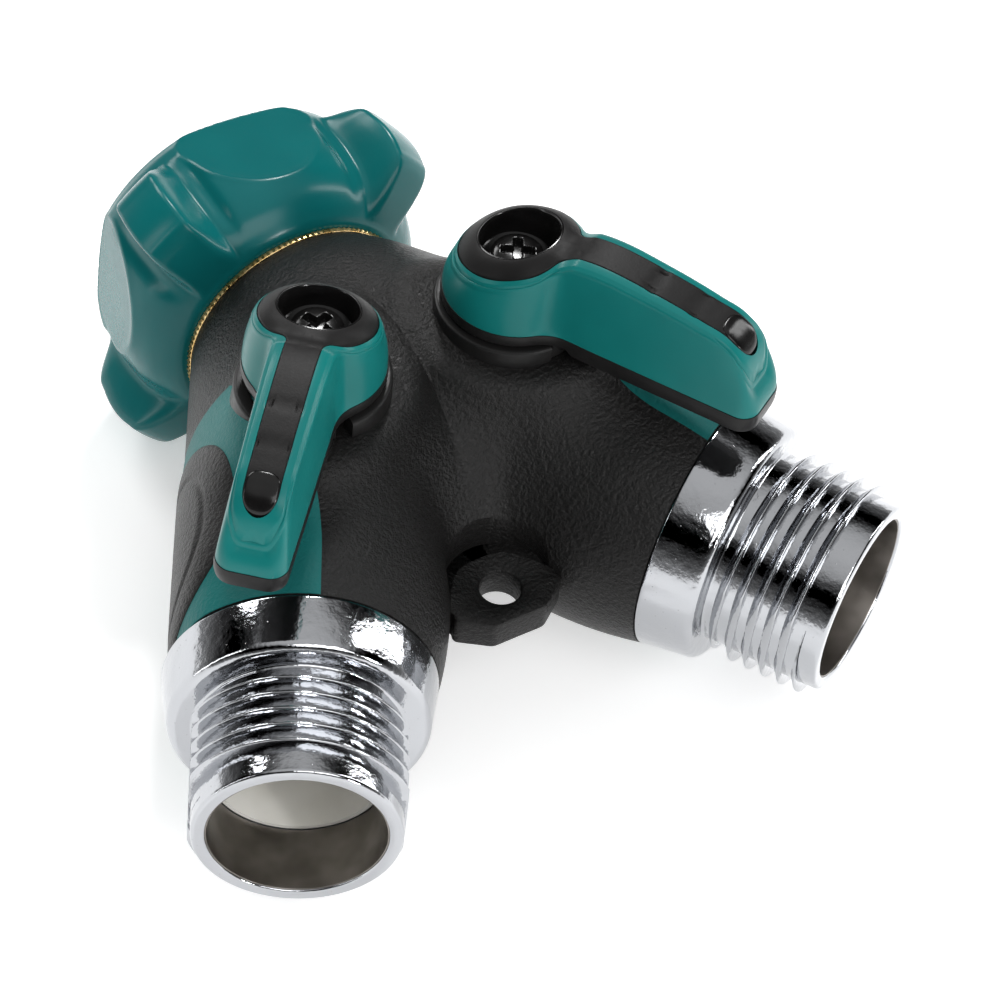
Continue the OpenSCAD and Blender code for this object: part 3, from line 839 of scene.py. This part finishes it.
for side in SIDES:
    body, place = f"lever_{side}", lever_place(side)

    rings = shell_rings()
    points, faces = lofted(rings)
    points[-1] = Vector((0, 0, SHELL_Z + 1))
    points[-2] = Vector((0, 0, SHELL_Z))
    piece(f"lever_shell_skin_{side}", points, faces, teal, body, place, 50, [f"lever_shell_{side}"],
          "teal_plastic")

    inset = strip * 0.985
    hole = nearest_on_circle(inset, 5.0)
    rings = [raised(inset, 0.85), raised(inset, 0.10)]
    for step in np.linspace(0.02, 1, 30):
        rings.append(raised(inset + (hole - inset) * step, -0.06 * min(1, step * 12)))
    rings.append([(q, w, BOWL_FLOOR - 0.4) for q, w in hole])
    points, faces = lofted(rings, closed=True)
    piece(f"lever_strip_{side}", points, faces, matt_black, body, place, 50, [f"lever_inlay_{side}"],
          "black_plastic")

    rings = [rim_ring(5.02, height=BOWL_FLOOR - 0.3), rim_ring(5.02, 0.12), rim_ring(4.93, -0.04),
             rim_ring(4.8, -0.05),
             rim_ring(4.68, 0.12), rim_ring(4.62, 0.5), rim_ring(4.5, height=BOWL_FLOOR + 0.9),
             rim_ring(4.3, height=BOWL_FLOOR + 0.25), rim_ring(3.9, height=BOWL_FLOOR),
             rim_ring(2.0, height=BOWL_FLOOR)]
    points, faces = lofted(rings)
    piece(f"screw_bowl_{side}", points, faces, gloss_black, body, place, 40, slot="black_gloss")

    pad_share = np.linspace(0.03, 1, 14)
    pad_turn = np.radians(np.linspace(0, 360, 64, endpoint=False))
    rings = []
    for share in pad_share:
        q = 29.0 + 2.0 * share * np.sign(np.cos(pad_turn)) * np.abs(np.cos(pad_turn)) ** 0.75
        w = 2.0 * share * np.sign(np.sin(pad_turn)) * np.abs(np.sin(pad_turn)) ** 0.75
        rings.append(list(zip(q, w, lever_top(q, w) + 0.03 + 0.22 * math.sqrt(max(0, 1 - share ** 5)))))
    rings.append(list(zip(q, w, lever_top(q, w) - 0.8)))
    points, faces = lofted(rings)
    piece(f"thumb_pad_{side}", points, faces, gloss_black, body, place, 60, slot="black_gloss")

    rings = []
    for grow, height in ((-0.5, 0.0), (-0.1, 0.12), (0.02, 0.4), (0.04, 0.75), (0.0, 0.97), (-0.25, 1.0)):
        plan = keyhole(8.6 + grow, 46, 12.5, 4.5 + grow, 33.9 + grow, 2.3, 4.3 + grow)
        under = 23.2 - 0.8 * smooth(plan[:, 0], 9.4, 10.6)
        rings.append([(q, w, z) for (q, w), z in zip(plan, under + (SHELL_Z + 0.05 - under) * height)])
    points, faces = lofted(rings)
    points[-2] = Vector((0, 0, 23.2))
    piece(f"lever_foot_{side}", points, faces, hard_black, body, place, 40, [f"lever_base_{side}"],
          "black_gloss")
    points, faces = sector(4.5, 9.15, -29.2, 29.2, 20.95, 23.4)
    piece(f"lever_lug_{side}", points, faces, hard_black, body, place, 40, slot="black_gloss")

    rings = [[(r * math.cos(a), r * math.sin(a), z) for a in ROUND] for r,
             z in ((2.6, 29.2), (3.1, 29.4), (3.15, 30.3))]
    for r in np.linspace(3.1, 0.06, 34):
        x, y = r * np.cos(ROUND), r * np.sin(ROUND)
        slots = np.maximum(smooth(-np.abs(y), -0.62, -0.42) * smooth(-np.abs(x), -2.1, -1.8),
                           smooth(-np.abs(x), -0.62, -0.42) * smooth(-np.abs(y), -2.1, -1.8))
        z = 30.35 + 0.75 * np.sqrt(np.clip(1 - (r / 3.15) ** 2, 0, 1)) - 0.95 * slots
        rings.append(list(zip(x, y, z)))
    points, faces = lofted(rings)
    piece(f"cross_screw_{side}", points, faces, gloss_black, body, place @ Matrix.Rotation(0.5, 4, "Z"), 40,
          [f"lever_screw_{side}"], "black_screw")


# ---- Inlet nut ------------------------------------------------------------------------------
# A glossy teal cover with four wings to grip, moulded over a threaded brass bush. Between the
# wings the barrel is cut to flat facets that taper towards the front, with a shallow groove beside each wing.
# Only the bush's knurled rim shows behind.

WING_TURN, BORE_R, NUT_BACK, NUT_FRONT = math.radians(42), 14.62, -8.85, 11.3
levels = np.concatenate([np.linspace(NUT_BACK, -8.2, 7), np.linspace(-8.0, 10.2, 84),
                         np.linspace(10.3, NUT_FRONT, 12)])
turns = np.linspace(0, 2 * math.pi, 480, endpoint=False)
level, turn = np.meshgrid(levels, turns, indexing="ij")
barrel = curve_through(level, [(-8.9, 15.5), (-8.6, 16.1), (-8, 16.9), (-6.5, 18.3), (-4, 19.5), (-1, 20),
                               (5, 20),
                               (8, 19.6), (9.8, 18.8), (10.8, 17.9), (11.3, 16.6)])
quarter = math.pi / 2
off_wing = (turn - WING_TURN + quarter / 2) % quarter - quarter / 2
off_facet = (turn - WING_TURN) % quarter - quarter / 2
facet = (19.75 - 0.21 * (level + 3.1)) / np.cos(off_facet)
barrel = melt(barrel, facet, 0.28) + 0.10 * np.exp(-((barrel - facet) / 0.22) ** 2) * (level > -5)
crest = curve_through(level, [(-9, 14), (-8, 19.2), (-6.8, 22.6), (-5.4, 24.4), (-4, 24.9), (2.5, 24.9),
                              (4.4, 24.3),
                              (5.8, 22.8), (7.4, 20.2), (9.4, 16)])
side_of = np.abs(off_wing) * 22
flank = 1 - smooth(side_of, 2.5, 4.9)
valley = 0.45 * np.exp(-((side_of - 6.6) / 1.1) ** 2) * smooth(level, -8, -3) * (1 - smooth(level, 4, 8))
radius = barrel - valley + np.maximum(crest - barrel, 0) * flank
outer = np.stack([radius * np.cos(turn), level, radius * np.sin(turn)], -1)
inner = [np.stack([BORE_R * np.cos(turns), np.full(len(turns), y), BORE_R * np.sin(turns)], -1)
         for y in (NUT_FRONT, NUT_BACK)]
points, faces = lofted([list(ring) for ring in outer] + [list(ring) for ring in inner], closed=True)

nut_teal, shader, spot = finish("glossy_teal_plastic", Specular_IOR_Level=0.22)
wave = spot.noise(7 * MM, 1.0)
mottle = spot.noise(0.8 * MM, 2.0)
feed(shader, Base_Color=spot.noise(16 * MM).step(0.3, 0.7).blend(colour(0.0022, 0.108, 0.112),
                                                                 colour(0.0034, 0.128, 0.130)),
     Roughness=0.20 + 0.08 * mottle, Normal=wave.bump(0.12 * MM, 0.3, under=mottle.bump(0.01 * MM, 0.4)))
piece("nut_wings", points, faces, nut_teal, "nut", METRES, 50, ["nut_cover"], "teal_plastic")

brass, shader, spot = finish("brass", Metallic=1.0)
wear = spot.noise(1.5 * MM, 3.0)
feed(shader, Base_Color=wear.step(0.3, 0.7).blend(colour(0.55, 0.36, 0.13), colour(0.80, 0.60, 0.30)),
     Roughness=0.18 + 0.2 * wear, Normal=wear.bump(0.02 * MM, 0.5))

bush = softened([(12.05, -9.6), (15.0, -9.6, 0.15), (15.0, -8.95), (14.6, -8.95), (14.6, 11.0, 0.3),
                 (13.45, 11.0, 0.3),
                 (13.45, -5.8), (12.05, -5.8)])
points, faces = turned(bush, 144)
piece("nut_bush", points, faces, brass, "nut", METRES @ TO_INLET, 35, ["nut_insert"], "brass")
inlet_thread = thread.build("inlet_thread", METRES @ Matrix.Rotation(-math.pi / 2, 4, "X"), Radius=12.88,
                            Height=-1.25,
                            Turns=5.0, Flat=99.0)
settle(inlet_thread, brass, "nut", 50)

knurl = Tree("knurled_rim", Teeth=120, Rim=14.9, Tooth=0.42, Length=0.5)
circle = knurl.add("GeometryNodeMeshCircle", {"Vertices": knurl.size("Teeth"), "Radius": knurl.size("Rim")})
tooth = knurl.add("GeometryNodeMeshCube", {"Size": knurl.add("ShaderNodeCombineXYZ", {
    "X": knurl.size("Tooth"), "Y": knurl.size("Tooth"), "Z": knurl.size("Length")})})
index = knurl.add("GeometryNodeInputIndex")
step = knurl.maths("DIVIDE", 2 * math.pi, knurl.size("Teeth"))
spin = knurl.maths("ADD", knurl.maths("MULTIPLY", index, step), math.pi / 4)
teeth = knurl.add("GeometryNodeInstanceOnPoints", {
    "Points": circle, "Instance": tooth, "Rotation": knurl.add("ShaderNodeCombineXYZ", {"Z": spin})})
knurl.close(teeth, brass)
rim = knurl.build("knurled_rim",
                  METRES @ Matrix.Translation((0, -9.25, 0)) @ Matrix.Rotation(-math.pi / 2, 4, "X"))
settle(rim, brass, "nut", 20)


# ---- Sleeves, seats, balls and small parts ----------------------------------------------------
# Inside, a white sleeve and two plastic seats hold each plated ball. Brass stems and glands,
# rubber seals, a flat washer and a split ring complete the valve.

white, shader, spot = finish("white_plastic", Specular_IOR_Level=0.5)
tone = spot.noise(6 * MM, 2.0)
feed(shader, Base_Color=tone.step(0.3, 0.7).blend(colour(0.70, 0.69, 0.64), colour(0.78, 0.77, 0.73)),
     Roughness=0.34 + 0.12 * tone, Normal=spot.noise(0.5 * MM).bump(0.01 * MM, 0.4))

seal, shader, spot = finish("seal_rubber", Specular_IOR_Level=0.4)
tone = spot.noise(0.6 * MM, 3.0)
feed(shader, Base_Color=tone.blend(colour(0.012, 0.012, 0.012), colour(0.022, 0.022, 0.022)),
     Roughness=0.55 + 0.15 * tone, Normal=tone.bump(0.03 * MM, 0.5))

steel, shader, spot = finish("spring_steel", Metallic=1.0)
tone = spot.noise(0.9 * MM, 3.0)
feed(shader, Base_Color=tone.blend(colour(0.42, 0.42, 0.43), colour(0.60, 0.60, 0.61)),
     Roughness=0.25 + 0.2 * tone, Normal=tone.bump(0.01 * MM, 0.5))

collar = softened([(8.0, -24), (14.15, -24), (14.15, -9.75, 0.3), (12.0, -9.75), (12.0, -5.7), (10.95, -5.7),
                   (10.95, -4.5), (12.0, -4.5), (12.0, -3.4, 0.4), (8.0, -3.4, 0.3)])
points, faces = turned(collar, 128)
piece("neck_casting", points, faces, chrome, "valve", METRES @ TO_INLET, 35, slot="chromed_casting")

INSIDE = {"seat_retainer": white, "inner_seat": white, "outer_seat": white, "ball": chrome, "stem": brass,
          "stem_gland": brass, "stem_seals": seal, "snap_ring": steel, "inlet_washer": seal}
for name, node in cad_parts.items():
    kind = name.removesuffix("_left").removesuffix("_right")
    if kind in INSIDE:
        node.data.materials.clear()
        node.data.materials.append(INSIDE[kind])
